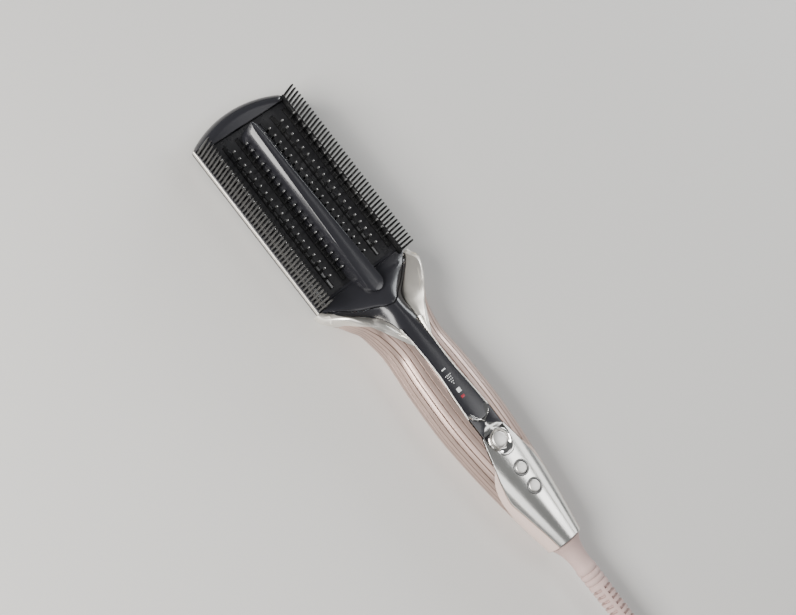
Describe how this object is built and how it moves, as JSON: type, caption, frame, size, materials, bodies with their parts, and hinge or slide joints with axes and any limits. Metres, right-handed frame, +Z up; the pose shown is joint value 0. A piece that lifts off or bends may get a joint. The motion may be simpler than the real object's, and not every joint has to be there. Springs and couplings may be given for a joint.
{
  "type": "ultrasonic hair straightening comb",
  "caption": "Hair straightening comb: flat comb head with heated plate, pin rows and central mist bar, flared collar, ribbed grips, buttons on the handle, coiled mains cord",
  "frame": {"origin": "centre of the comb's bounding box on the floor, measured without the cord", "axes": "+X right, +Y from the tail to the tip of the head, +Z up towards the teeth; the comb lies on its back"},
  "size_m": [0.0796, 0.5407, 0.0288],
  "materials": {
    "gloss_black": "gloss",
    "satin_silver": "satin",
    "heated_plate": "semi-gloss",
    "bright_pin": "polished",
    "rose_gold": "satin metallic with fine lengthwise ribs",
    "pale_rose": "satin metallic",
    "chrome": "polished",
    "button_silver": "satin",
    "ring_grey": "satin",
    "dusty_pink": "matte",
    "dark_plastic": "matte",
    "clear_plastic": "clear",
    "board_green": "solder resist",
    "ceramic": "matte",
    "insulation": "matte sheet",
    "steel": "plain",
    "silicone": "matte",
    "brass": "plain"
  },
  "bodies": {
    "comb_body": {"head_back_cover": "gloss_black", "head_side_trim": "satin_silver", "head_front_frame": "gloss_black", "heat_plate": "heated_plate", "comb_left": "gloss_black", "comb_right": "gloss_black", "pin_row_left_inner": "bright_pin", "pin_row_left_middle": "bright_pin", "pin_row_left_outer": "bright_pin", "pin_row_right_inner": "bright_pin", "pin_row_right_middle": "bright_pin", "pin_row_right_outer": "bright_pin", "mist_bar": "gloss_black", "heater_left": "ceramic", "heater_right": "ceramic", "heater_insulator": "insulation", "temperature_sensor": "dark_plastic", "thermal_fuse": "ceramic", "head_screw_1": "steel", "head_screw_2": "steel", "head_screw_3": "steel", "head_screw_4": "steel", "collar_trim": "satin_silver", "display_strip": "gloss_black", "grip_left": "rose_gold", "grip_right": "rose_gold", "tail_plate": "satin_silver", "handle_back_shell": "pale_rose", "power_surround": "chrome", "power_switch": "dark_plastic", "level_up_ring": "ring_grey", "level_up_switch": "dark_plastic", "level_down_ring": "ring_grey", "level_down_switch": "dark_plastic", "button_board": "board_green", "display_board": "board_green", "light_guide": "clear_plastic", "chassis": "dark_plastic", "main_board": "board_green", "power_module": "dark_plastic", "disc_driver_board": "board_green", "handle_screw_1": "steel", "handle_screw_2": "steel", "water_tank": "clear_plastic", "disc_seal": "silicone", "ultrasonic_disc": "brass", "mist_chamber": "dark_plastic", "strain_relief": "dusty_pink", "cord_clamp": "dark_plastic", "cord_lead": "dusty_pink", "cord_coil": "dusty_pink", "cord_tail": "dusty_pink", "plug_body": "dusty_pink", "plug_pin_left": "brass", "plug_pin_right": "brass"},
    "power_button_body": {"power_button": "button_silver"},
    "level_up_body": {"level_up_button": "button_silver"},
    "level_down_body": {"level_down_button": "button_silver"},
    "filler_plug_body": {"filler_plug": "silicone"}
  },
  "joints": [
    {"name": "power_press", "type": "slide", "parent": "comb_body", "child": "power_button_body", "axis": [0, 0, -1], "range_m": [0, 0.0006], "stiffness_N_per_m": 800},
    {"name": "level_up_press", "type": "slide", "parent": "comb_body", "child": "level_up_body", "axis": [0, 0, -1], "range_m": [0, 0.0006], "stiffness_N_per_m": 800},
    {"name": "level_down_press", "type": "slide", "parent": "comb_body", "child": "level_down_body", "axis": [0, 0, -1], "range_m": [0, 0.0006], "stiffness_N_per_m": 800},
    {"name": "filler_plug_pull", "type": "slide", "parent": "comb_body", "child": "filler_plug_body", "axis": [1, 0, 0], "range_m": [0, 0.012]}
  ]
}
